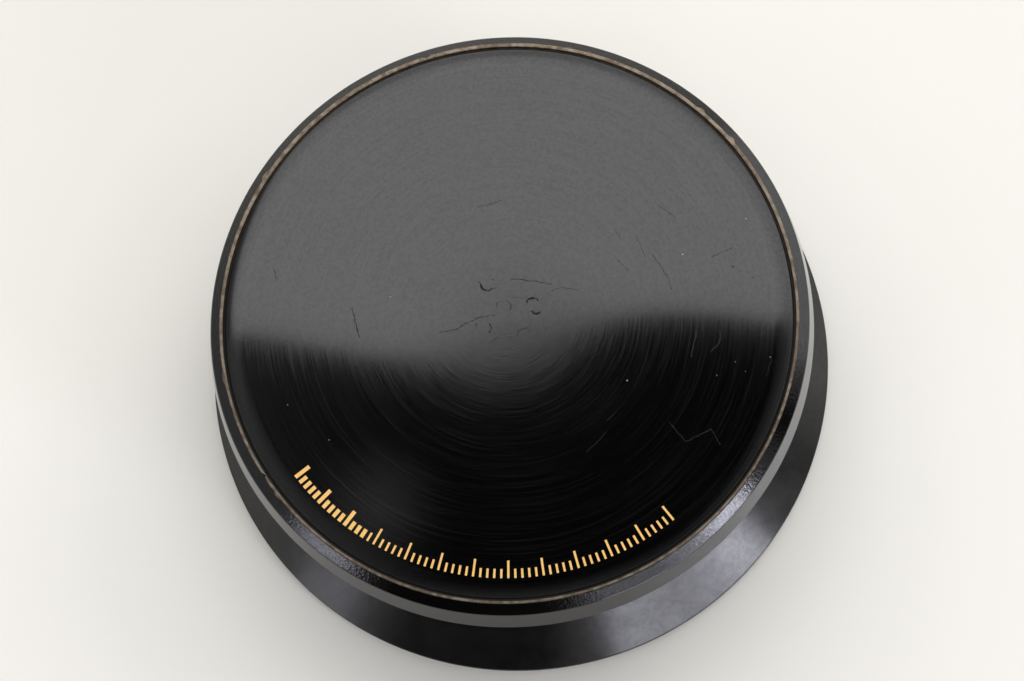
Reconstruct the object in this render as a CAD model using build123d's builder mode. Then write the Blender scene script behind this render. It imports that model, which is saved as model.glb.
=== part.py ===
# A heavy record weight: a turned metal body with a V-shaped finger waist, a thin plate let into
# its top and a rubber ring under its foot. It slips over the record player's spindle from above.
# Millimetres, +Z up along the turning axis, origin at the middle of the underside.

import os
from math import radians, tan

from build123d import *

# Foot: the widest part, with a short upright rim and a conical skirt above it.
base_diameter = 84.0
rim_height = 1.0
rim_bottom_chamfer = 0.3
skirt_height = 11.0

# Waist: the root of the V groove where the fingers go under the cap.
waist_diameter = 62.0
waist_root_radius = 5.0
cap_underside_height = 8.1

# Cap: a steep edge band that narrows upwards, a chamfer and a narrow lip round the top plate.
band_bottom_diameter = 78.1
band_height = 4.25
band_top_diameter = 76.5
chamfer_width = 1.35
chamfer_height = 1.05
lip_width = 0.45

# The small chamfer that takes the sharpness off the rim's and the band's turned edges.
edge_break = 0.15

# Top plate: a hair below the lip, with an edge that rolls gently downwards.
plate_thickness = 1.2
plate_sink = 0.05
plate_clearance = 0.2
plate_roll_width = 2.5
plate_roll_drop = 0.2

# Pad: a flat ring, glued into a shallow seat and standing proud of the rim.
pad_thickness = 1.0
pad_proud = 0.5
pad_border = 2.5
pad_clearance = 0.15
pad_hole_diameter = 20.0

# Spindle hole: blind, drilled from below, with a countersunk mouth and a drill point at its end.
spindle_diameter = 7.15
spindle_clearance = 0.1
spindle_hole_depth = 16.0
spindle_mouth_chamfer = 0.8
drill_point_angle = 118.0

# Heights, stacked upwards from the surface that the weight stands on.
rim_bottom_z = pad_proud
pad_seat_z = pad_thickness
rim_top_z = rim_bottom_z + rim_height
waist_z = rim_top_z + skirt_height
band_bottom_z = waist_z + cap_underside_height
band_top_z = band_bottom_z + band_height
lip_z = band_top_z + chamfer_height
plate_top_z = lip_z - plate_sink
plate_seat_z = plate_top_z - plate_thickness
spindle_hole_end_z = pad_seat_z + spindle_hole_depth

# Radii, from the turning axis.
base_radius = base_diameter / 2
waist_radius = waist_diameter / 2
band_bottom_edge = band_bottom_diameter / 2
band_top_edge = band_top_diameter / 2
lip_radius = band_top_edge - chamfer_width
plate_seat_radius = lip_radius - lip_width
plate_radius = plate_seat_radius - plate_clearance
pad_seat_radius = base_radius - pad_border
pad_radius = pad_seat_radius - pad_clearance
spindle_hole_radius = spindle_diameter / 2 + spindle_clearance
drill_point_height = spindle_hole_radius / tan(radians(drill_point_angle / 2))

# Corners of the body's half section as (radius, height), from the axis round and back to it.
body_corners = [
    (0, pad_seat_z),
    (pad_seat_radius, pad_seat_z),
    (pad_seat_radius, rim_bottom_z),
    (base_radius - rim_bottom_chamfer, rim_bottom_z),
    (base_radius, rim_bottom_z + rim_bottom_chamfer),
    (base_radius, rim_top_z),
    (waist_radius, waist_z),
    (band_bottom_edge, band_bottom_z),
    (band_top_edge, band_top_z),
    (lip_radius, lip_z),
    (plate_seat_radius, lip_z),
    (plate_seat_radius, plate_seat_z),
    (0, plate_seat_z),
]

# The corners of that section whose sharpness is taken off.
broken_corners = [
    (base_radius, rim_top_z),
    (band_bottom_edge, band_bottom_z),
    (band_top_edge, band_top_z),
]

# Half section of the spindle hole, from its countersunk mouth up to the drill point.
spindle_hole_corners = [
    (0, pad_seat_z),
    (spindle_hole_radius + spindle_mouth_chamfer, pad_seat_z),
    (spindle_hole_radius, pad_seat_z + spindle_mouth_chamfer),
    (spindle_hole_radius, spindle_hole_end_z),
    (0, spindle_hole_end_z + drill_point_height),
]

# The body is turned from one bar and drilled from below.
with BuildPart() as weight_body:
    with BuildSketch(Plane.XZ) as body_section:
        with BuildLine():
            Polyline(*body_corners, close=True)
        make_face()
        waist_root = body_section.vertices().sort_by_distance((waist_radius, waist_z))[0]
        fillet(waist_root, waist_root_radius)
        for corner in broken_corners:
            chamfer(body_section.vertices().sort_by_distance(corner)[0], edge_break)
    revolve(axis=Axis.Z)
    with BuildSketch(Plane.XZ):
        with BuildLine():
            Polyline(*spindle_hole_corners, close=True)
        make_face()
    revolve(axis=Axis.Z, mode=Mode.SUBTRACT)
weight_body.part.label = "weight_body"

# The plate lies in the cap's recess. The outer part of its face rolls down to a thinner edge.
with BuildPart() as top_plate:
    with BuildSketch(Plane.XZ):
        with BuildLine():
            Polyline((0, plate_top_z), (0, plate_seat_z), (plate_radius, plate_seat_z))
            edge = Line((plate_radius, plate_seat_z), (plate_radius, plate_top_z - plate_roll_drop))
            flat = Line((0, plate_top_z), (plate_radius - plate_roll_width, plate_top_z))
            TangentArc(flat @ 1, edge @ 1, tangent=flat % 1)
        make_face()
    revolve(axis=Axis.Z)
top_plate.part.label = "top_plate"

# The pad is a ring punched from sheet rubber. The weight stands on it.
with BuildPart() as base_pad:
    with BuildSketch(Plane.XY):
        Circle(pad_radius)
        Circle(pad_hole_diameter / 2, mode=Mode.SUBTRACT)
    extrude(amount=pad_thickness)
base_pad.part.label = "base_pad"

os.makedirs("parts", exist_ok=True)
for piece in (weight_body, top_plate, base_pad):
    export_step(piece.part, f"parts/{piece.part.label}.step")
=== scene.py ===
# The looks of a heavy record weight: a black lacquered body with a worn lip, a spun top plate with
# a gold tick scale, and a rubber ring underneath.
# Metres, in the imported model's frame: +Z up along the turning axis, origin in the middle of the
# underside. Sizes are named in millimetres, as in the part's source, and turned to metres by MM.
# Azimuths are in degrees from -Y, the middle of the scale, anticlockwise as seen from above.

from math import atan2, ceil, cos, degrees, hypot, pi, radians, sin, tan

import bpy
from mathutils import Matrix, Vector, noise


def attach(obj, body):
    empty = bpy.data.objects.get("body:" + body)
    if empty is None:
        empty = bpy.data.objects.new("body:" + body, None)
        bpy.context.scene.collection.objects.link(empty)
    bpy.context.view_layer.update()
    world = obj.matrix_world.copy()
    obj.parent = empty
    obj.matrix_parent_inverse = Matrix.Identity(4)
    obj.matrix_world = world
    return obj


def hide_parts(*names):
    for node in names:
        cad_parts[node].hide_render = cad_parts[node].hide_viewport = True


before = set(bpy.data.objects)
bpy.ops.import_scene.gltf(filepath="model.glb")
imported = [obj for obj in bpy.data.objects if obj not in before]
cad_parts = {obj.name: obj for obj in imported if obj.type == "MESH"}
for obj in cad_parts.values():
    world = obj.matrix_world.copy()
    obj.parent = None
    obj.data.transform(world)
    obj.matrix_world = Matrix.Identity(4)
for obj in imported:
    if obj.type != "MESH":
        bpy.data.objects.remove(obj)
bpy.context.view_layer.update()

MM = 0.001
FULL_TURN = 360.0

# Body, the same sizes as in the part's source.
BASE_RADIUS = 42.0
RIM_BOTTOM_Z = 0.5
RIM_TOP_Z = 1.5
RIM_CHAMFER = 0.3
WAIST_RADIUS = 31.0
WAIST_Z = 12.5
WAIST_ROOT_RADIUS = 5.0
BAND_BOTTOM_RADIUS = 39.05
BAND_BOTTOM_Z = 20.6
BAND_TOP_RADIUS = 38.25
BAND_TOP_Z = 24.85
LIP_RADIUS = 36.9
LIP_Z = 25.9
PLATE_SEAT_RADIUS = 36.45
PLATE_SEAT_Z = 24.65
PAD_SEAT_RADIUS = 39.5
PAD_SEAT_Z = 1.0
SPINDLE_HOLE_RADIUS = 3.675
SPINDLE_HOLE_END_Z = 17.0
SPINDLE_MOUTH_CHAMFER = 0.8
DRILL_POINT_ANGLE = 118.0
SPINDLE_HOLE_TIP_Z = SPINDLE_HOLE_END_Z + SPINDLE_HOLE_RADIUS / tan(radians(DRILL_POINT_ANGLE / 2))

# Top plate and pad, the same sizes as in the part's source.
PLATE_RADIUS = 36.25
PLATE_TOP_Z = 25.85
PLATE_ROLL_WIDTH = 2.5
PLATE_ROLL_DROP = 0.2
PAD_RADIUS = 39.35
PAD_HOLE_RADIUS = 10.0

# Line of old glue in the gap round the plate: how far its top lies below the plate's edge, how deep
# it goes, and between which Y positions it turns from painted shade, for a deeper gap, to brown.
GLUE_SINK = 0.1
GLUE_DEPTH = 0.3
GLUE_SHADE_FADE = (-12.0, 30.0)

# How much each kind of edge is rounded.
TURNED_EDGE = 0.15
BAND_TOP_EDGE = 0.5
LIP_EDGE = 0.2
FINE_EDGE = 0.08
PLATE_EDGE = 0.1
PLATE_TOP_EDGE = 0.18
PAD_EDGE = 0.2

# Mesh fineness: vertices round the axis, the angle of one step on a rounded edge, the steps across
# the plate's roll, the distance from a flat's border to the loop that keeps it flat, the step
# across the worn lip, and the angle from which an edge is shaded as a sharp one.
TURN_STEPS = 720
ARC_STEP = radians(15)
PLATE_ROLL_STEPS = 10
FLAT_BORDER = 0.04
WORN_STEP = 0.07
SHARP_ANGLE = radians(40)

# Gold scale: tick lines that start and end at these azimuths, the first ones bold.
SCALE_START = -45.0
SCALE_END = 45.0
SCALE_TICKS = 61
LONG_TICK_EVERY = 5
BOLD_UNTIL = -25.0
TICK_FOOT_RADIUS = 33.7
SHORT_TICK = 1.15
LONG_TICK = 2.2
THIN_TICK_WIDTH = 0.28
BOLD_TICK_WIDTH = 0.5
PRINT_THICKNESS = 0.02
PRINT_ROOT = 0.01

# Worn spots of the lip: azimuth, half width in degrees, and how far the bare metal reaches
# outwards in millimetres. A negative reach is lacquer that is still there.
LIP_CHIPS = (
    (144.3, 0.9, 0.30),
    (135.7, 0.9, 0.34),
    (170.4, 0.6, 0.16),
    (174.7, 0.7, 0.18),
    (-114.5, 1.6, 0.34),
    (-156.0, 0.8, -0.34),
    (-70.7, 1.3, 0.20),
    (-49.1, 0.7, -0.30),
    (-44.3, 1.2, 0.18),
)

# Bare metal on the lip: its inner and outer radius on the least worn side, the azimuth where it is
# worn most and how much further it reaches there on both sides, how soft its border is, and the
# depth of a chip that reaches out by as much as that. The outer border wanders twice: (reach in
# millimetres, waves, seed).
LIP_WEAR_START = PLATE_SEAT_RADIUS + 0.12
LIP_WEAR_EDGE = LIP_RADIUS - 0.02
LIP_MOST_WORN = -159.5
LIP_INNER_WEAR = 0.16
LIP_OUTER_WEAR = 0.14
LIP_WEAR_SOFTNESS = 0.12
CHIP_DEPTH = 0.025
SLOW_WANDER = (0.035, 5, 1)
FAST_WANDER = (0.05, 40, 2)

# How grainy the foot's lacquer is beside the chamfer's, and how dull the band and the skirt are
# beside the rim.
FOOT_GRAIN = 0.08
BAND_DULLNESS = 0.03
SKIRT_DULLNESS = 0.19

# Painted sheen, which stands for a window's reflection, lies on one side of the edge band: it grows
# between the first two azimuths and fades out between the last two.
PAINTED_SHEEN_COMES = (14.0, 70.0)
PAINTED_SHEEN_GOES = (80.0, 150.0)

# Marks on the plate as (half width, depth from 0 to 1, points of the line), and specks of dust as
# (x, y, half width), all in millimetres. Haze is where a hand has dulled the face: (x, y, radius).
PLATE_MARKS = (
    (0.18, 1.0, (-4.1, 3.9), (-3.7, 3.2), (-3.3, 3.0)),
    (0.10, 0.8, (-3.3, 3.0), (-2.8, 3.0), (-1.8, 3.4)),
    (0.12, 0.8, (-2.5, 4.5), (-2.3, 4.4)),
    (0.08, 0.8, (-0.1, 4.7), (1.0, 4.9), (5.1, 4.7)),
    (0.06, 0.5, (5.2, 3.8), (6.2, 4.4), (8.6, 4.3)),
    (0.19, 1.0, (2.3, 2.0), (2.4, 2.3), (2.8, 2.6), (3.2, 2.6), (3.5, 2.4)),
    (0.06, 0.5, (0.2, 2.4), (2.3, 2.7)),
    (0.18, 1.0, (3.0, 0.9), (3.3, 0.6), (3.7, 0.6), (4.1, 0.9)),
    (0.14, 0.5, (-8.2, -3.1), (-6.4, -2.7), (-5.2, -1.7), (-3.4, -0.6), (-1.6, -0.1)),
    (0.10, 0.7, (-3.8, -1.5), (-3.7, -2.2)),
    (0.13, 0.8, (-2.1, -1.3), (-1.7, -1.9), (-2.0, -2.5)),
    (0.12, 0.7, (-0.4, 1.8), (0.3, 1.5), (0.3, 0.7)),
    (0.09, 0.5, (-1.5, 1.6), (-1.4, 0.7)),
    (0.10, 0.6, (1.6, -2.5), (1.7, -1.8), (2.7, -1.3), (3.0, -1.8)),
    (0.10, 0.5, (-1.5, -3.7), (-0.9, -3.1)),
    (0.11, 0.8, (-19.9, -1.2), (-19.2, -3.0), (-18.4, -4.9)),
    (0.08, 0.5, (-30.7, 3.0), (-30.1, 1.4)),
    (0.08, 0.7, (21.9, -11.6), (24.3, -13.8), (27.2, -11.9), (28.5, -13.7)),
    (0.08, 0.5, (14.2, -12.2), (15.2, -11.0)),
    (0.08, 0.5, (12.0, -16.7), (14.2, -13.8)),
    (0.08, 0.6, (24.1, 0.6), (23.7, -2.8)),
    (0.08, 0.6, (27.1, 0.9), (27.1, -0.6), (26.2, -1.8)),
    (0.06, 0.5, (33.7, -2.1), (33.4, -4.3)),
    (0.07, 0.5, (-5.5, 14.0), (-2.6, 15.1)),
    (0.06, 0.5, (15.3, 11.8), (16.6, 9.5)),
    (0.07, 0.6, (17.4, 10.1), (18.3, 8.9), (19.6, 7.3), (20.4, 5.7)),
    (0.07, 0.5, (13.1, 8.8), (14.6, 7.5)),
    (0.06, 0.5, (12.2, 12.9), (13.2, 11.5)),
    (0.07, 0.5, (17.7, 16.4), (19.8, 15.2)),
    (0.08, 0.5, (27.3, 11.9), (24.9, 10.5)),
    (0.15, 0.7, (27.7, 9.5), (27.8, 9.4)),
    (0.15, 0.7, (30.3, 8.3), (30.4, 8.2)),
)
DUST_SPECKS = (
    (21.2, 10.4, 0.13),
    (28.7, 16.0, 0.12),
    (16.1, -6.8, 0.12),
    (-15.2, 0.8, 0.10),
    (-26.2, -14.7, 0.07),
    (-20.3, -18.6, 0.07),
    (33.6, -1.8, 0.08),
    (29.3, -2.9, 0.06),
    (27.2, -4.9, 0.06),
    (30.7, -4.0, 0.05),
)
HAZE = ((-13.3, -27.4, 12.0),)

# The plate is very slightly buckled: its face tips by up to this many radians to and fro, in waves
# of this length that run along this azimuth and start this far from the axis.
BUCKLE_TIP = 0.0042
BUCKLE_LENGTH = 58.0
BUCKLE_AZIMUTH = 110.5
BUCKLE_START = 3.5

# Contrast of a noise: the value where it starts to count, and the value where it counts in full.
SHARP_CONTRAST = (0.4, 0.6)
EVEN_CONTRAST = (0.35, 0.65)
WIDE_CONTRAST = (0.3, 0.7)
WIDEST_CONTRAST = (0.2, 0.8)
PIT_CONTRAST = (0.44, 0.6)
SPECK_CONTRAST = (0.42, 0.6)
GAP_CONTRAST = (0.36, 0.54)
GROOVE_CONTRAST = (0.45, 0.7)
ARC_CONTRAST = (0.42, 0.68)

# Lacquer: colours of the metal, the lacquer, the painted sheen on the band and reflections in dirty
# places, noise scales in features per metre, and how much each thing changes the look. Depths are in
# millimetres.
TARNISHED_BRONZE = (0.097, 0.073, 0.051, 1)
RUBBED_BRONZE = (0.19, 0.157, 0.12, 1)
LACQUER_GREYS = (0.0006, 0.002)
PAINTED_SHEEN_COLOUR = (0.084, 0.085, 0.09, 1)
DIRT_TINT = (0.48, 0.49, 0.55, 1)
FRAY_SCALE = 9000
BRONZE_SCALE = 1100
SMUDGE_SCALE = 120
PATCH_SCALE = 320
PIT_SCALE = 6500
SPECK_SCALE = 1300
PEEL_SCALE = 3000
FRAY_WIDTH = 0.9
THINNEST_PAINTED_SHEEN = 0.7
LEAST_SMEAR = 0.075
PATCH_SMEAR = 0.65
DULL_ROUGHNESS = 1.4
SMUDGE_ROUGHNESS = 0.05
BARE_ROUGHNESS = 0.3
SPECK_STRENGTH = 1.7
PEEL_STRENGTH = 0.24
PEEL_DEPTH = 0.1

# Plate: fine rings and coarser arcs as (scale outwards, breaks round the axis), and the same kinds
# of value as for the lacquer. Marks swing aside by up to half of MARK_SWING, and their full depth
# takes up MARK_CORE of their width. Hands have dulled the middle between two radii.
FINE_RINGS = (9000, 2.2)
COARSE_ARCS = (5200, 2.0)
PLATE_GREY = 0.0001
GROOVE_GREY = 0.0024
MARK_GREY = 0.008
SPECK_GREY = 0.3
SWING_SCALE = 1500
GAP_SCALE = 2600
GRAIN_SCALE = 3000
PLATE_SMUDGE_SCALE = 60
MARK_SWING = 0.5
MARK_CORE = 0.3
SPECK_CORE = 0.4
MARK_LEFT_IN_GAP = 0.45
GRAIN_SHINE = 0.07
DULLEST_RING = 0.88
ROLL_SHADE = 0.26
MARK_SHINE = 0.12
RING_ROUGHNESS = (0.04, 0.062)
ARC_ROUGHNESS = 0.009
PLATE_SMUDGE_ROUGHNESS = 0.02
HANDLED_RADII = (15.0, 3.0)
HANDLED_ROUGHNESS = 0.036
ROLL_ROUGHNESS = 0.06
HAZE_ROUGHNESS = 0.1
MARK_ROUGHNESS = 0.4
RING_STRENGTH = 0.5
RING_DEPTH = 0.0018
RING_ANISOTROPY = 0.3
RING_ANISOTROPY_TURN = 0.25
PLATE_IOR = 1.52

# Gold ink, glue, rubber, floor and cards: pairs of colours or greys, noise scales and roughness.
GOLD_INKS = ((0.62, 0.34, 0.08, 1), (0.86, 0.53, 0.17, 1))
INK_SCALE = 2500
INK_ROUGHNESS = (0.35, 0.5)
# The dark glue colours are painted shade of a deeper gap on the scale's side.
PAINTED_SHADE_GLUE = ((0.004, 0.0028, 0.0016, 1), (0.012, 0.008, 0.005, 1))
BROWN_GLUE = ((0.028, 0.019, 0.012, 1), (0.062, 0.046, 0.032, 1))
GLUE_DUST_SCALE = 900
GLUE_ROUGHNESS = (0.5, 0.75)
GLUE_SPECULAR = 0.15
RUBBER_GREYS = (0.014, 0.03)
RUBBER_GRAIN_SCALE = 3000
RUBBER_DUST_SCALE = 150
RUBBER_ROUGHNESS = (0.6, 0.85)
RUBBER_STRENGTH = 0.6
RUBBER_DEPTH = 0.05
FLOOR_COLOURS = ((0.79, 0.772, 0.716, 1), (0.815, 0.796, 0.74, 1))
CLOUD_SCALE = 18
FLOOR_ROUGHNESS = (0.45, 0.55)
CARD_GREYS = (0.002, 0.004)
FIBRE_SCALE = 300
CARD_ROUGHNESS = 0.9

# Photograph's camera: the eye and the point that it looks at, as (towards the viewer, to the
# left, up) from the origin, and the roll of the picture about the line of sight. The camera sees
# from CLIP_START on, in metres.
VIEW_AZIMUTH = 20.5
EYE = (84.52, 0.0, 322.07)
AIM = (3.107, 0.179, 24.85)
VIEW_ROLL = -13.86
LENS = 85.22
SENSOR = 36.0
CLIP_START = 0.01

# Studio: soft lamps as (name, azimuth, elevation, width, height, radiance, colour unless white)
# and black cards as (name, azimuth, elevation, width, height). Angles are in degrees as seen from
# the object, and azimuths are counted from the photograph's view, positive to its right. Lamps and
# cards stand off by their distances, in metres. The top card fades to grey between these distances
# from its middle, in metres, towards the viewer and aside.
LAMP_DISTANCE = 4.0
FLAG_DISTANCE = 3.6
ROOM_LIGHT = 0.54
DAYLIGHT = (0.89, 0.89, 1.0)
PANELS = (
    ("far_panel", 163, 67.5, 46, 18, 2.6),
    ("far_middle_panel", 163, 54.25, 70, 8.5, 1.75),
    ("far_low_panel", 172, 36.5, 106, 27, 1.9),
    ("right_panel", 107, 22, 50, 44, 1.42),
    ("window_right_high", 43, 20.5, 12, 10, 17.5, DAYLIGHT),
    ("window_right_low", 43, 5.5, 12, 10, 12.0, DAYLIGHT),
    ("window_middle_high", 31, 21.5, 11, 10, 4.7, DAYLIGHT),
    ("window_middle_low", 31, 6, 11, 11, 7.2, DAYLIGHT),
    ("window_front_high", 14, 22.5, 20, 10, 2.1, DAYLIGHT),
    ("window_front_low", 15, 6, 18, 11, 7.3, DAYLIGHT),
    ("window_left_high", -64, 18.5, 14, 10, 5.2, DAYLIGHT),
    ("window_left_low", -64, 4, 14, 11, 2.6, DAYLIGHT),
)
FLAGS = (
    ("flag_front", -27, 18, 46, 40),
    ("flag_right", 68, 18, 10, 40),
)
TOP_FLAG = ("flag_above", 168, 89.8, 58, 29.45)
NEAR_FADE = (-0.2, 0.65)
NEAR_GREY = 0.42
SIDE_FADE = (0.33, 1.64)
SIDE_GREY = 0.8

# Floor: half its width in metres, and how far it lies below the pad in millimetres. It darkens by
# this share between these distances from the object, in metres, as painted fall-off of the light.
FLOOR_REACH = 6.0
FLOOR_DROP = 0.02
FLOOR_FALLOFF_RANGE = (0.1, 0.5)
FLOOR_PAINTED_FALLOFF = 0.17


# Sections and turned meshes

def fillet_arc(before, corner, after, radius):
    """Points of the arc that rounds one corner of a section."""
    corner = Vector(corner)
    back = (Vector(before) - corner).normalized()
    ahead = (Vector(after) - corner).normalized()
    half_angle = back.angle(ahead) / 2
    centre = corner + (back + ahead).normalized() * (radius / sin(half_angle))
    start = corner + back * (radius / tan(half_angle)) - centre
    end = corner + ahead * (radius / tan(half_angle)) - centre
    start_angle = atan2(start.y, start.x)
    sweep = (atan2(end.y, end.x) - start_angle + pi) % (2 * pi) - pi
    steps = max(2, ceil(abs(sweep) / ARC_STEP))
    angles = [start_angle + sweep * step / steps for step in range(steps + 1)]
    return [centre + Vector((cos(angle), sin(angle))) * radius for angle in angles]


def rounded_section(corners):
    """A section's points from its corners (radius, height, rounding), open at both ends."""
    points = [Vector(corners[0][:2])]
    for before, corner, after in zip(corners, corners[1:], corners[2:]):
        if corner[2]:
            points += fillet_arc(before[:2], corner[:2], after[:2], corner[2])
        else:
            points.append(Vector(corner[:2]))
    points.append(Vector(corners[-1][:2]))
    return points


def divided(points, step_at=None):
    """The same section with a loop near both ends of each flat, and steps where step_at asks."""
    made = [points[0]]
    for start, end in zip(points, points[1:]):
        run = end - start
        length = run.length
        step = step_at((start + end) / 2) if step_at else None
        if step:
            count = ceil(length / step)
            made += [start + run * (k / count) for k in range(1, count)]
        elif length > 4 * FLAT_BORDER:
            made += [start + run * (FLAT_BORDER / length), end - run * (FLAT_BORDER / length)]
        made.append(end)
    return made


def turned_mesh(name, section, closed=False):
    """Turns a section about the Z axis. Its points go upwards on the outside."""
    vertices = []
    rings = []
    for radius, height in section:
        first = len(vertices)
        count = TURN_STEPS if radius > 0 else 1
        for step in range(count):
            angle = radians(FULL_TURN * step / TURN_STEPS)
            vertices.append((radius * sin(angle) * MM, -radius * cos(angle) * MM, height * MM))
        rings.append([first + step % count for step in range(TURN_STEPS + 1)])
    faces = []
    for low, high in zip(rings, rings[1:] + (rings[:1] if closed else [])):
        for step in range(TURN_STEPS):
            corners = (low[step], low[step + 1], high[step + 1], high[step])
            faces.append(tuple(dict.fromkeys(corners)))
    mesh = bpy.data.meshes.new(name)
    mesh.from_pydata(vertices, [], faces)
    mesh.polygons.foreach_set("use_smooth", [True] * len(faces))
    mesh.set_sharp_from_angle(angle=SHARP_ANGLE)
    mesh.update()
    return mesh


def add_piece(name, mesh, material, node=None):
    """Puts a mesh into the scene as a piece of the object, in place of a CAD node if one is named."""
    piece = bpy.data.objects.new(name, mesh)
    bpy.context.collection.objects.link(piece)
    mesh.materials.append(material)
    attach(piece, "root")
    if node:
        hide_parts(node)
    return piece


def azimuth_of(x, y):
    """Degrees from -Y, anticlockwise as seen from above."""
    return degrees(atan2(x, -y))


def set_values(mesh, name, value_at):
    """Keeps one number per vertex, worked out from its radius, azimuth and height in millimetres."""
    values = []
    for vertex in mesh.vertices:
        x, y, z = vertex.co / MM
        values.append(value_at(hypot(x, y), azimuth_of(x, y), z))
    layer = mesh.attributes.new(name, "FLOAT", "POINT")
    layer.data.foreach_set("value", values)


# Body

def body_section():
    """Half section of the body, from the spindle hole's tip round to the plate's seat."""
    corners = [
        (0, SPINDLE_HOLE_TIP_Z, 0),
        (SPINDLE_HOLE_RADIUS, SPINDLE_HOLE_END_Z, 0),
        (SPINDLE_HOLE_RADIUS, PAD_SEAT_Z + SPINDLE_MOUTH_CHAMFER, FINE_EDGE),
        (SPINDLE_HOLE_RADIUS + SPINDLE_MOUTH_CHAMFER, PAD_SEAT_Z, FINE_EDGE),
        (PAD_SEAT_RADIUS, PAD_SEAT_Z, 0),
        (PAD_SEAT_RADIUS, RIM_BOTTOM_Z, FINE_EDGE),
        (BASE_RADIUS - RIM_CHAMFER, RIM_BOTTOM_Z, FINE_EDGE),
        (BASE_RADIUS, RIM_BOTTOM_Z + RIM_CHAMFER, FINE_EDGE),
        (BASE_RADIUS, RIM_TOP_Z, TURNED_EDGE),
        (WAIST_RADIUS, WAIST_Z, WAIST_ROOT_RADIUS),
        (BAND_BOTTOM_RADIUS, BAND_BOTTOM_Z, TURNED_EDGE),
        (BAND_TOP_RADIUS, BAND_TOP_Z, BAND_TOP_EDGE),
        (LIP_RADIUS, LIP_Z, LIP_EDGE),
        (PLATE_SEAT_RADIUS, LIP_Z, FINE_EDGE),
        (PLATE_SEAT_RADIUS, PLATE_SEAT_Z, 0),
        (0, PLATE_SEAT_Z, 0),
    ]

    def step_at(middle):
        on_cap_edge = middle.y > BAND_TOP_Z and middle.x > PLATE_SEAT_RADIUS - FINE_EDGE
        return WORN_STEP if on_cap_edge else None

    return divided(rounded_section(corners), step_at)


def wander(azimuth, reach, waves, seed):
    """A smooth, closed, seeded wave round the axis, that goes about as far as its reach."""
    angle = radians(azimuth)
    return reach * noise.noise(Vector((cos(angle) * waves, sin(angle) * waves, seed)))


def chip_reach(azimuth):
    """How far the bare metal reaches out at the lip's worn spots."""
    reach = 0.0
    for place, half_width, size in LIP_CHIPS:
        away = abs((azimuth - place + 180) % FULL_TURN - 180) / half_width
        reach += size * max(0.0, 1 - away * away)
    return reach


def extra_wear(azimuth):
    """1 where the lip is worn most, 0 on the opposite side."""
    return ((1 + cos(radians(azimuth - LIP_MOST_WORN))) / 2) ** 2


def bare_edge(azimuth):
    """The radius at which the lip's bare metal ends and the lacquer starts."""
    slow = wander(azimuth, *SLOW_WANDER)
    fast = wander(azimuth, *FAST_WANDER)
    extra = LIP_OUTER_WEAR * extra_wear(azimuth)
    return LIP_WEAR_EDGE + extra + slow + fast + chip_reach(azimuth)


def bareness(radius, azimuth, height):
    """0 where lacquer covers the body, 1 on bare metal, with a soft border between."""
    if height < PAD_SEAT_Z + FINE_EDGE and radius < PAD_SEAT_RADIUS + FINE_EDGE:
        return 1.0
    if radius < SPINDLE_HOLE_RADIUS + SPINDLE_MOUTH_CHAMFER + FINE_EDGE:
        return 1.0
    if height < BAND_TOP_Z - FINE_EDGE:
        return 0.0
    bare_start = LIP_WEAR_START - LIP_INNER_WEAR * extra_wear(azimuth)
    inside = min(bare_edge(azimuth) - radius, radius - bare_start)
    return min(1.0, max(0.0, 0.5 + inside / LIP_WEAR_SOFTNESS))


def graininess(radius, azimuth, height):
    """How grainy the lacquer is: most on the chamfer, smooth on the band, a little on the foot."""
    if height > BAND_TOP_Z + FINE_EDGE:
        return 1.0
    if height > BAND_BOTTOM_Z:
        return 0.0
    return FOOT_GRAIN


def dullness(radius, azimuth, height):
    """How dull the lacquer is: most on the rim and the lip's inner edge, satin on the skirt."""
    if height < RIM_TOP_Z:
        return 1.0
    if height > BAND_TOP_Z and radius < LIP_WEAR_START:
        return 1 - extra_wear(azimuth)
    if height < BAND_BOTTOM_Z - FINE_EDGE:
        return SKIRT_DULLNESS
    if height < BAND_TOP_Z + FINE_EDGE:
        return BAND_DULLNESS
    return 0.0


def smooth_step(value, start, end):
    """0 up to the start, 1 from the end on, with a smooth rise between."""
    share = min(1.0, max(0.0, (value - start) / (end - start)))
    return share * share * (3 - 2 * share)


def painted_sheen_at(radius, azimuth, height):
    """How much painted sheen, for a window's reflection, lies on the lacquer: only on one side of the
    edge band.
    """
    if not BAND_BOTTOM_Z < height < BAND_TOP_Z:
        return 0.0
    return smooth_step(azimuth, *PAINTED_SHEEN_COMES) * (1 - smooth_step(azimuth, *PAINTED_SHEEN_GOES))


def sink_chips(mesh):
    """Sinks the lip's worn spots by a few hundredths of a millimetre."""
    for vertex in mesh.vertices:
        x, y, z = vertex.co / MM
        radius = hypot(x, y)
        if z < BAND_TOP_Z or radius < LIP_RADIUS - FINE_EDGE:
            continue
        reach = chip_reach(azimuth_of(x, y))
        if reach > 0 and radius < LIP_RADIUS + reach:
            vertex.co.z -= CHIP_DEPTH * reach / LIP_WEAR_SOFTNESS * MM


def paint_band(mesh, material):
    """Gives the faces of the edge band, below its rounded top, a material of their own."""
    mesh.materials.append(material)
    top = BAND_TOP_Z - BAND_TOP_EDGE / 3
    for face in mesh.polygons:
        if BAND_BOTTOM_Z < face.center.z / MM < top and hypot(*face.center.xy) / MM > LIP_RADIUS:
            face.material_index = 1


def make_body(material, band_material):
    """The turned body, worn, with painted sheen on one side of the edge band and a lacquer of its own
    there.
    """
    mesh = turned_mesh("weight_turned", body_section())
    set_values(mesh, "bare", bareness)
    set_values(mesh, "grain", graininess)
    set_values(mesh, "dull", dullness)
    # The value kept as 'dust' is painted sheen on one side of the edge band, for a window's
    # reflection.
    set_values(mesh, "dust", painted_sheen_at)
    sink_chips(mesh)
    add_piece("weight_turned", mesh, material, "weight_body")
    paint_band(mesh, band_material)


# Top plate

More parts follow.
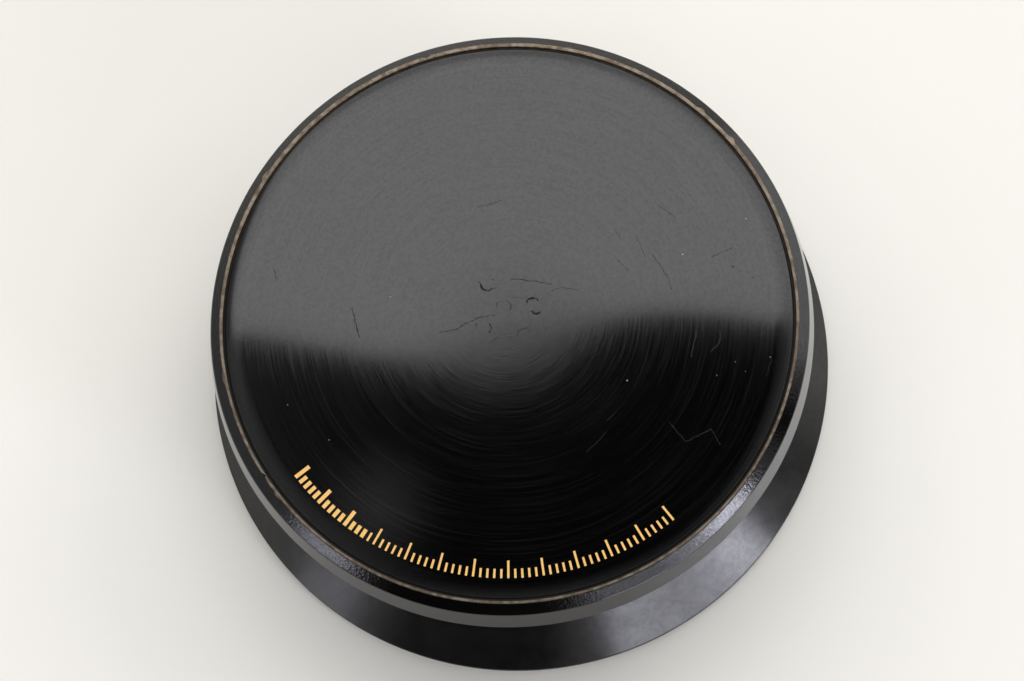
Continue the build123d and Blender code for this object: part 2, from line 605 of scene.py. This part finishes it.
def make_plate(material):
    """The flat disc, whose outer part rolls down along an arc to a thinner edge."""
    flat_end = PLATE_RADIUS - PLATE_ROLL_WIDTH
    roll_radius = (PLATE_ROLL_WIDTH**2 + PLATE_ROLL_DROP**2) / (2 * PLATE_ROLL_DROP)
    roll = []
    for step in range(1, PLATE_ROLL_STEPS + 1):
        reach = PLATE_ROLL_WIDTH * (1 - step / PLATE_ROLL_STEPS)
        drop = roll_radius - (roll_radius**2 - reach**2) ** 0.5
        roll.append(Vector((flat_end + reach, PLATE_TOP_Z - drop)))
    corners = [
        (0, PLATE_SEAT_Z, 0),
        (PLATE_RADIUS, PLATE_SEAT_Z, PLATE_EDGE),
        (PLATE_RADIUS, PLATE_TOP_Z - PLATE_ROLL_DROP, PLATE_TOP_EDGE),
        (*roll[0], 0),
    ]
    section = divided(rounded_section(corners)) + roll[1:]
    section.append(Vector((flat_end - FLAT_BORDER, PLATE_TOP_Z)))
    section.append(Vector((0, PLATE_TOP_Z)))
    mesh = turned_mesh("plate_spun", section)
    add_piece("plate_spun", mesh, material, "top_plate")


# Glue

def make_glue(material):
    """A thin line of old glue that fills the gap round the plate."""
    top = PLATE_TOP_Z - PLATE_ROLL_DROP - GLUE_SINK
    bottom = top - GLUE_DEPTH
    corners = [
        (PLATE_RADIUS, bottom),
        (PLATE_SEAT_RADIUS, bottom),
        (PLATE_SEAT_RADIUS, top),
        (PLATE_RADIUS, top),
    ]
    mesh = turned_mesh("glue_line", [Vector(corner) for corner in corners], closed=True)
    add_piece("glue_line", mesh, material)


# Gold scale

def tick_outline(azimuth, length, width):
    """Corner points of one tick, which points from its foot towards the axis."""
    angle = radians(azimuth)
    outward = Vector((sin(angle), -cos(angle)))
    across = Vector((cos(angle), sin(angle)))
    foot = outward * TICK_FOOT_RADIUS
    tip = outward * (TICK_FOOT_RADIUS - length)
    side = across * (width / 2)
    return [foot - side, foot + side, tip + side, tip - side]


def make_scale(material):
    """Thin printed ticks along the front of the plate."""
    vertices = []
    faces = []
    for tick in range(SCALE_TICKS):
        azimuth = SCALE_START + (SCALE_END - SCALE_START) * tick / (SCALE_TICKS - 1)
        length = SHORT_TICK if tick % LONG_TICK_EVERY else LONG_TICK
        width = BOLD_TICK_WIDTH if azimuth < BOLD_UNTIL else THIN_TICK_WIDTH
        outline = tick_outline(azimuth, length, width)
        first = len(vertices)
        for height in (PLATE_TOP_Z - PRINT_ROOT, PLATE_TOP_Z + PRINT_THICKNESS):
            vertices += [(point.x * MM, point.y * MM, height * MM) for point in outline]
        faces.append((first + 3, first + 2, first + 1, first))
        faces.append((first + 4, first + 5, first + 6, first + 7))
        for side in range(4):
            after = (side + 1) % 4
            faces.append((first + side, first + after, first + after + 4, first + side + 4))
    mesh = bpy.data.meshes.new("gold_scale")
    mesh.from_pydata(vertices, [], faces)
    mesh.update()
    add_piece("gold_scale", mesh, material)


# Pad

def make_pad(material):
    """The flat rubber ring, with softly rounded edges."""
    corners = [
        (PAD_HOLE_RADIUS, 0, PAD_EDGE),
        (PAD_RADIUS, 0, PAD_EDGE),
        (PAD_RADIUS, PAD_SEAT_Z, FINE_EDGE),
        (PAD_HOLE_RADIUS, PAD_SEAT_Z, FINE_EDGE),
    ]
    around = [corners[-1]] + corners + corners[:1]
    section = divided(rounded_section(around)[1:-1])
    mesh = turned_mesh("pad_ring", section, closed=True)
    add_piece("pad_ring", mesh, material, "base_pad")


# Node helpers

def add_node(tree, kind, inputs=None, **settings):
    """Adds a node with its settings. Inputs are plain values or other nodes' output sockets."""
    made = tree.nodes.new(kind)
    for name, value in settings.items():
        setattr(made, name, value)
    for socket, value in (inputs or {}).items():
        if isinstance(value, bpy.types.NodeSocket):
            tree.links.new(value, made.inputs[socket])
        else:
            made.inputs[socket].default_value = value
    return made


def calculate(tree, operation, first, second=0.0, third=0.0):
    inputs = {0: first, 1: second, 2: third}
    return add_node(tree, "ShaderNodeMath", inputs, operation=operation).outputs[0]


def vectors(tree, operation, first, second=(0, 0, 0), third=(0, 0, 0)):
    """Both outputs of a vector calculation: the vector and the number."""
    inputs = {0: first, 1: second, 2: third}
    return add_node(tree, "ShaderNodeVectorMath", inputs, operation=operation).outputs


def noise_at(tree, position, scale, detail=2.0, roughness=0.5):
    inputs = {"Vector": position, "Scale": scale, "Detail": detail, "Roughness": roughness}
    return add_node(tree, "ShaderNodeTexNoise", inputs).outputs["Fac"]


def remap(tree, value, from_low, from_high, to_low=0.0, to_high=1.0):
    inputs = {
        "Value": value,
        "From Min": from_low,
        "From Max": from_high,
        "To Min": to_low,
        "To Max": to_high,
    }
    return add_node(tree, "ShaderNodeMapRange", inputs, interpolation_type="SMOOTHSTEP").outputs[0]


def blend_colours(tree, factor, first, second):
    node = add_node(tree, "ShaderNodeMix", data_type="RGBA")
    for socket, value in ((0, factor), (6, first), (7, second)):
        if isinstance(value, bpy.types.NodeSocket):
            tree.links.new(value, node.inputs[socket])
        else:
            node.inputs[socket].default_value = value
    return node.outputs[2]


def grey(value):
    return (value, value, value, 1.0)


def blend_greys(tree, factor, first, second):
    return blend_colours(tree, factor, grey(first), grey(second))


def kept_value(tree, name):
    """The number that the mesh keeps per vertex under that name."""
    return add_node(tree, "ShaderNodeAttribute", attribute_name=name).outputs["Fac"]


def new_material(name):
    """A material with its node tree, its shader node and the place on the object, in metres."""
    material = bpy.data.materials.new(name)
    material.use_nodes = True
    tree = material.node_tree
    shader = tree.nodes["Principled BSDF"]
    place = add_node(tree, "ShaderNodeTexCoord").outputs["Object"]
    return material, tree, shader, place


def join(tree, socket, shader, name):
    tree.links.new(socket, shader.inputs[name])


def bumped(tree, height, strength, distance, normal=None):
    """The normal that a height in a bump of that many metres gives."""
    inputs = {"Height": height, "Strength": strength, "Distance": distance}
    if normal:
        inputs["Normal"] = normal
    return add_node(tree, "ShaderNodeBump", inputs).outputs[0]


# Materials

def lacquer_material(name, smoothest, index_of_refraction):
    """Black lacquer over bronze, worn through on the lip."""
    material, tree, shader, place = new_material(name)
    bare_near = kept_value(tree, "bare")
    grain = kept_value(tree, "grain")
    dull = kept_value(tree, "dull")
    # The kept 'dust' value is painted sheen for a window's reflection, on one side of the edge band.
    dust = kept_value(tree, "dust")

    # Border of the worn metal, frayed at a tenth of a millimetre.
    fray = noise_at(tree, place, FRAY_SCALE)
    shift = calculate(tree, "MULTIPLY_ADD", fray, FRAY_WIDTH, -FRAY_WIDTH / 2)
    bare = remap(tree, calculate(tree, "ADD", bare_near, shift), *SHARP_CONTRAST)
    join(tree, bare, shader, "Metallic")

    # Tarnished bronze, brown with lighter rubbed spots, and black with painted sheen, for a window's
    # reflection, in patches on one side of the band.
    spots = remap(tree, noise_at(tree, place, BRONZE_SCALE, 4), *EVEN_CONTRAST)
    bronze = blend_colours(tree, spots, TARNISHED_BRONZE, RUBBED_BRONZE)
    smudge = noise_at(tree, place, SMUDGE_SCALE, 3)
    black = blend_greys(tree, smudge, *LACQUER_GREYS)
    patches = noise_at(tree, place, PATCH_SCALE, 6, 0.6)
    painted_sheen = calculate(tree, "MULTIPLY", dust, remap(tree, patches, *WIDEST_CONTRAST, THINNEST_PAINTED_SHEEN))
    with_painted_sheen = blend_colours(tree, painted_sheen, black, PAINTED_SHEEN_COLOUR)
    join(tree, blend_colours(tree, bare, with_painted_sheen, bronze), shader, "Base Color")

    # Gloss, which the dull places lack, in patches where hands have smeared them.
    smeared = calculate(tree, "MULTIPLY_ADD", patches, PATCH_SMEAR, LEAST_SMEAR)
    dulled = calculate(tree, "MULTIPLY", dull, smeared)
    gloss = calculate(tree, "MULTIPLY_ADD", dulled, DULL_ROUGHNESS, smoothest)
    varied = calculate(tree, "MULTIPLY_ADD", smudge, SMUDGE_ROUGHNESS, gloss)
    join(tree, calculate(tree, "MULTIPLY_ADD", bare, BARE_ROUGHNESS, varied), shader, "Roughness")

    # Orange peel in the lacquer, strongest on the chamfer, with dirt in its pits and on the foot.
    peel = noise_at(tree, place, PEEL_SCALE, 4)
    pits = remap(tree, noise_at(tree, place, PIT_SCALE, 3), *PIT_CONTRAST)
    specks = remap(tree, noise_at(tree, place, SPECK_SCALE, 6, 0.7), *SPECK_CONTRAST)
    dirty = calculate(tree, "MULTIPLY", calculate(tree, "MULTIPLY", specks, dull), SPECK_STRENGTH)
    pitted = calculate(tree, "MULTIPLY_ADD", pits, grain, dirty)
    dirt = add_node(tree, "ShaderNodeClamp", {"Value": pitted}).outputs[0]
    join(tree, blend_colours(tree, dirt, grey(1.0), DIRT_TINT), shader, "Specular Tint")
    strength = calculate(tree, "MULTIPLY", grain, PEEL_STRENGTH)
    join(tree, bumped(tree, peel, strength, PEEL_DEPTH * MM), shader, "Normal")
    shader.inputs["IOR"].default_value = index_of_refraction
    return material


def stroke(tree, place, start, end, half_width, depth):
    """The depth of a mark on a thin line between two points of the plate, 0 beside it."""
    first = Vector((*start, 0)) * MM
    run = Vector((*end, 0)) * MM - first
    offset = vectors(tree, "SUBTRACT", place, first)["Vector"]
    share = vectors(tree, "DOT_PRODUCT", offset, run / run.length_squared)["Value"]
    along = add_node(tree, "ShaderNodeClamp", {"Value": share}).outputs[0]
    nearest = add_node(tree, "ShaderNodeVectorMath", {0: run, "Scale": along}, operation="SCALE")
    away = vectors(tree, "DISTANCE", offset, nearest.outputs[0])["Value"]
    return remap(tree, away, half_width * MM, MARK_CORE * half_width * MM, 0.0, depth)


def all_marks(tree, place):
    """The depth of all the plate's marks."""
    deepest = 0.0
    for half_width, depth, *points in PLATE_MARKS:
        for start, end in zip(points, points[1:]):
            mark = stroke(tree, place, start, end, half_width, depth)
            deepest = calculate(tree, "MAXIMUM", deepest, mark)
    return deepest


def worn_marks(tree, flat):
    """The plate's marks, swung a little so that they are not ruled, and broken by small gaps."""
    swing_inputs = {"Vector": flat, "Scale": SWING_SCALE, "Detail": 3}
    swing = add_node(tree, "ShaderNodeTexNoise", swing_inputs).outputs["Color"]
    aside = vectors(tree, "SUBTRACT", swing, (0.5, 0.5, 0.5))["Vector"]
    reach = (MARK_SWING * MM, MARK_SWING * MM, 0)
    swung = vectors(tree, "MULTIPLY_ADD", aside, reach, flat)["Vector"]
    gaps = remap(tree, noise_at(tree, flat, GAP_SCALE), *GAP_CONTRAST, MARK_LEFT_IN_GAP)
    return calculate(tree, "MULTIPLY", all_marks(tree, swung), gaps)


def all_dust(tree, place):
    """1 on the plate's specks of dust, 0 beside them."""
    dust = 0.0
    for x, y, half_width in DUST_SPECKS:
        away = vectors(tree, "DISTANCE", place, (x * MM, y * MM, 0))["Value"]
        speck = remap(tree, away, half_width * MM, SPECK_CORE * half_width * MM)
        dust = calculate(tree, "MAXIMUM", dust, speck)
    return dust


def all_haze(tree, place):
    """1 in the middle of the plate's hazy spots, 0 outside them."""
    haze = 0.0
    for x, y, radius in HAZE:
        away = vectors(tree, "DISTANCE", place, (x * MM, y * MM, 0))["Value"]
        haze = calculate(tree, "MAXIMUM", haze, remap(tree, away, radius * MM, 0.0))
    return haze


def ring_noise(tree, flat, radius, scale, breaks):
    """Noise that is drawn out along rings round the axis, and more broken for a higher number."""
    direction = vectors(tree, "NORMALIZE", flat)["Vector"]
    outward = calculate(tree, "MULTIPLY", radius, scale)
    upward = add_node(tree, "ShaderNodeCombineXYZ", {2: outward}).outputs[0]
    drawn_out = vectors(tree, "MULTIPLY_ADD", direction, (breaks, breaks, 0), upward)["Vector"]
    return noise_at(tree, drawn_out, 1.0, 2)


def buckle_height(tree, flat):
    """Height of the plate's buckle, in metres."""
    along = towards(BUCKLE_AZIMUTH, 0)
    across = Vector((-along.y, along.x, 0))
    distance = vectors(tree, "DOT_PRODUCT", flat, along)["Value"]
    turn = 2 * pi / (BUCKLE_LENGTH * MM)
    angle = calculate(tree, "MULTIPLY_ADD", distance, turn, -turn * BUCKLE_START * MM)
    tip = calculate(tree, "MULTIPLY", calculate(tree, "SINE", angle), BUCKLE_TIP)
    return calculate(tree, "MULTIPLY", tip, vectors(tree, "DOT_PRODUCT", flat, across)["Value"])


def plate_material():
    """Black plate, spun in fine rings, glossy, with scratches, dust and a handled middle."""
    material, tree, shader, place = new_material("spun_plate")
    flat = vectors(tree, "MULTIPLY", place, (1, 1, 0))["Vector"]
    radius = vectors(tree, "LENGTH", flat)["Value"]
    rings = ring_noise(tree, flat, radius, *FINE_RINGS)
    arcs = ring_noise(tree, flat, radius, *COARSE_ARCS)
    smudge = noise_at(tree, place, PLATE_SMUDGE_SCALE, 4)
    marks = worn_marks(tree, flat)
    dust = all_dust(tree, flat)

    # Black, with the coarser arcs, the marks and the dust on it.
    grooves = remap(tree, arcs, *GROOVE_CONTRAST)
    black = blend_greys(tree, grooves, PLATE_GREY, GROOVE_GREY)
    scored = blend_colours(tree, marks, black, grey(MARK_GREY))
    join(tree, blend_colours(tree, dust, scored, grey(SPECK_GREY)), shader, "Base Color")

    # Rings, fine grain and scratched places, which shine less, and painted shade that dims the rolled
    # edge's reflection.
    fine = noise_at(tree, place, GRAIN_SCALE, 3)
    grain = remap(tree, fine, *EVEN_CONTRAST, -GRAIN_SHINE, GRAIN_SHINE)
    ringed = remap(tree, rings, *EVEN_CONTRAST, DULLEST_RING)
    rolled = remap(tree, radius, (PLATE_RADIUS - PLATE_ROLL_WIDTH) * MM, PLATE_RADIUS * MM)
    grained = calculate(tree, "ADD", ringed, grain)
    # Painted shade: the reflection dims across the rolled edge towards the rim.
    shine = calculate(tree, "MULTIPLY_ADD", rolled, -ROLL_SHADE, grained)
    clean = blend_greys(tree, shine, 0.0, 1.0)
    join(tree, blend_colours(tree, marks, clean, grey(MARK_SHINE)), shader, "Specular Tint")

    # Gloss, which differs from ring to ring and which hands have dulled.
    gloss = remap(tree, rings, *WIDE_CONTRAST, *RING_ROUGHNESS)
    grooved = calculate(tree, "ADD", gloss, remap(tree, arcs, *ARC_CONTRAST, 0.0, ARC_ROUGHNESS))
    smeared = calculate(tree, "MULTIPLY_ADD", smudge, PLATE_SMUDGE_ROUGHNESS, grooved)
    handled = remap(tree, radius, *(reach * MM for reach in HANDLED_RADII))
    middle = calculate(tree, "MULTIPLY_ADD", handled, HANDLED_ROUGHNESS, smeared)
    edge = calculate(tree, "MULTIPLY_ADD", rolled, ROLL_ROUGHNESS, middle)
    hazy = calculate(tree, "MULTIPLY_ADD", all_haze(tree, flat), HAZE_ROUGHNESS, edge)
    scuffed = calculate(tree, "MAXIMUM", calculate(tree, "MULTIPLY", marks, MARK_ROUGHNESS), dust)
    join(tree, calculate(tree, "MAXIMUM", scuffed, hazy), shader, "Roughness")

    # The buckle, the rings' relief and a gloss that is drawn out along the rings.
    buckled = bumped(tree, buckle_height(tree, flat), 1.0, 1.0)
    join(tree, bumped(tree, rings, RING_STRENGTH, RING_DEPTH * MM, buckled), shader, "Normal")
    around = add_node(tree, "ShaderNodeTangent", direction_type="RADIAL", axis="Z").outputs[0]
    join(tree, around, shader, "Tangent")
    shader.inputs["Anisotropic"].default_value = RING_ANISOTROPY
    shader.inputs["Anisotropic Rotation"].default_value = RING_ANISOTROPY_TURN
    shader.inputs["IOR"].default_value = PLATE_IOR
    return material


def gold_material():
    """Satin gold ink, a little uneven."""
    material, tree, shader, place = new_material("gold_print")
    patches = noise_at(tree, place, INK_SCALE, 3)
    join(tree, blend_colours(tree, patches, *GOLD_INKS), shader, "Base Color")
    join(tree, remap(tree, patches, *WIDE_CONTRAST, *INK_ROUGHNESS), shader, "Roughness")
    return material


def glue_material():
    """Old brown glue with dust in it, matt, with painted shade of a deeper gap on the side of the
    scale.
    """
    material, tree, shader, place = new_material("old_glue")
    dust = remap(tree, noise_at(tree, place, GLUE_DUST_SCALE, 4), *EVEN_CONTRAST)
    brown = blend_colours(tree, dust, *BROWN_GLUE)
    # Painted shade: the glue turns dark on the scale's side, where the gap is deeper.
    painted_shade = blend_colours(tree, dust, *PAINTED_SHADE_GLUE)
    along = add_node(tree, "ShaderNodeSeparateXYZ", {0: place}).outputs["Y"]
    less_painted_shade = remap(tree, along, *(edge * MM for edge in GLUE_SHADE_FADE))
    join(tree, blend_colours(tree, less_painted_shade, painted_shade, brown), shader, "Base Color")
    join(tree, remap(tree, dust, 0.0, 1.0, *GLUE_ROUGHNESS), shader, "Roughness")
    shader.inputs["Specular IOR Level"].default_value = GLUE_SPECULAR
    return material


def rubber_material():
    """Matt black rubber with a fine moulded texture."""
    material, tree, shader, place = new_material("pad_rubber")
    texture = noise_at(tree, place, RUBBER_GRAIN_SCALE, 3)
    dust = noise_at(tree, place, RUBBER_DUST_SCALE, 4)
    join(tree, blend_greys(tree, dust, *RUBBER_GREYS), shader, "Base Color")
    join(tree, remap(tree, texture, *WIDEST_CONTRAST, *RUBBER_ROUGHNESS), shader, "Roughness")
    join(tree, bumped(tree, texture, RUBBER_STRENGTH, RUBBER_DEPTH * MM), shader, "Normal")
    return material


def floor_material():
    """Pale warm table top, matt, with the faintest unevenness and painted shade, as of the light
    falling off, that darkens it further off.
    """
    material, tree, shader, place = new_material("pale_floor")
    clouds = noise_at(tree, place, CLOUD_SCALE, 3)
    away = vectors(tree, "LENGTH", place)["Value"]
    # Painted shade: the floor darkens away from the object as if the light fell off.
    painted_falloff = remap(tree, away, *FLOOR_FALLOFF_RANGE, 0.0, FLOOR_PAINTED_FALLOFF)
    pale = blend_colours(tree, clouds, *FLOOR_COLOURS)
    join(tree, blend_colours(tree, painted_falloff, pale, grey(0.0)), shader, "Base Color")
    join(tree, remap(tree, clouds, *WIDE_CONTRAST, *FLOOR_ROUGHNESS), shader, "Roughness")
    shader.inputs["Specular IOR Level"].default_value = 0.0
    return material


def card_black(tree, place):
    """Black with faint fibres in it."""
    fibres = noise_at(tree, place, FIBRE_SCALE)
    return blend_greys(tree, fibres, *CARD_GREYS)


def card_material():
    """Black card."""
    material, tree, shader, place = new_material("black_card")
    join(tree, card_black(tree, place), shader, "Base Color")
    shader.inputs["Roughness"].default_value = CARD_ROUGHNESS
    return material


def graded_card_material():
    """Black card that turns grey towards the viewer and towards both sides."""
    material, tree, shader, place = new_material("graded_card")
    black = card_black(tree, place)
    across, along, _ = add_node(tree, "ShaderNodeSeparateXYZ", {0: place}).outputs
    aside = calculate(tree, "ABSOLUTE", across)
    nearer = remap(tree, along, *NEAR_FADE, 0.0, NEAR_GREY)
    sideways = remap(tree, aside, *SIDE_FADE, 0.0, SIDE_GREY)
    paleness = calculate(tree, "MAXIMUM", nearer, sideways)
    join(tree, blend_colours(tree, paleness, black, grey(1.0)), shader, "Base Color")
    shader.inputs["Roughness"].default_value = CARD_ROUGHNESS
    return material


# Stage

def towards(azimuth, elevation):
    """Unit vector from the object in that direction."""
    across = cos(radians(elevation))
    angle = radians(azimuth)
    return Vector((sin(angle) * across, -cos(angle) * across, sin(radians(elevation))))


def facing_plane(azimuth, elevation, distance):
    """Where a plane stands that faces the object from that side of the photograph's view."""
    away = towards(VIEW_AZIMUTH + azimuth, elevation)
    return Matrix.Translation(away * distance) @ away.to_track_quat("Z", "Y").to_matrix().to_4x4()


def span(angle, distance):
    """Length of a plane that takes up that angle in degrees, seen from the object."""
    return 2 * distance * tan(radians(angle / 2))


def add_panel(name, azimuth, elevation, width, height, radiance, colour=(1, 1, 1)):
    """A flat soft lamp that faces the object. Radiance 1 is as bright as white paper."""
    lamp = bpy.data.lights.new(name, "AREA")
    lamp.shape = "RECTANGLE"
    lamp.size = span(width, LAMP_DISTANCE)
    lamp.size_y = span(height, LAMP_DISTANCE)
    lamp.color = colour
    lamp.energy = radiance * pi * lamp.size * lamp.size_y
    place = bpy.data.objects.new(name, lamp)
    bpy.context.collection.objects.link(place)
    place.matrix_world = facing_plane(azimuth, elevation, LAMP_DISTANCE)
    place.visible_camera = False


def add_sheet(name, half_width, half_length, height, material):
    """A flat rectangle about the origin, at that height."""
    corners = [
        (-half_width, -half_length, height),
        (half_width, -half_length, height),
        (half_width, half_length, height),
        (-half_width, half_length, height),
    ]
    mesh = bpy.data.meshes.new(name)
    mesh.from_pydata(corners, [], [(0, 1, 2, 3)])
    mesh.materials.append(material)
    sheet = bpy.data.objects.new(name, mesh)
    bpy.context.collection.objects.link(sheet)
    return sheet


def add_flag(name, azimuth, elevation, width, height, material):
    """A black card that keeps the room out of a reflection. The camera doesn't see it."""
    across = span(width, FLAG_DISTANCE) / 2
    along = span(height, FLAG_DISTANCE) / 2
    flag = add_sheet(name, across, along, 0, material)
    flag.matrix_world = facing_plane(azimuth, elevation, FLAG_DISTANCE)
    flag.visible_camera = False


def add_lights():
    """Soft lamps and black cards, as the studio's tables list them."""
    for panel in PANELS:
        add_panel(*panel)
    black = card_material()
    for flag in FLAGS:
        add_flag(*flag, black)
    add_flag(*TOP_FLAG, graded_card_material())


def add_world():
    """Even grey light from all sides."""
    world = bpy.data.worlds.new("room")
    world.use_nodes = True
    world.node_tree.nodes["Background"].inputs[0].default_value = grey(ROOM_LIGHT)
    bpy.context.scene.world = world


def add_floor():
    """The pale floor, a hair below the pad."""
    floor = add_sheet("floor", FLOOR_REACH, FLOOR_REACH, -FLOOR_DROP * MM, floor_material())


def add_camera():
    """The camera stands where the photograph was taken from."""
    forward = towards(VIEW_AZIMUTH, 0)
    left = Vector((0, 0, -1)).cross(forward)
    up = Vector((0, 0, 1))

    def spot(offsets):
        return (forward * offsets[0] + left * offsets[1] + up * offsets[2]) * MM

    eye = spot(EYE)
    facing = (eye - spot(AIM)).to_track_quat("Z", "Y")
    data = bpy.data.cameras.new("photo_camera")
    data.lens = LENS
    data.sensor_width = SENSOR
    data.clip_start = CLIP_START
    camera = bpy.data.objects.new("photo_camera", data)
    bpy.context.collection.objects.link(camera)
    camera.matrix_world = (
        Matrix.Translation(eye)
        @ facing.to_matrix().to_4x4()
        @ Matrix.Rotation(radians(VIEW_ROLL), 4, "Z")
    )
    bpy.context.scene.camera = camera


make_body(
    lacquer_material("black_lacquer", smoothest=0.085, index_of_refraction=1.5),
    lacquer_material("band_lacquer", smoothest=0.03, index_of_refraction=1.235),
)
make_plate(plate_material())
make_glue(glue_material())
make_scale(gold_material())
make_pad(rubber_material())
add_floor()
add_world()
add_lights()
add_camera()
bpy.context.scene.view_settings.view_transform = "Standard"
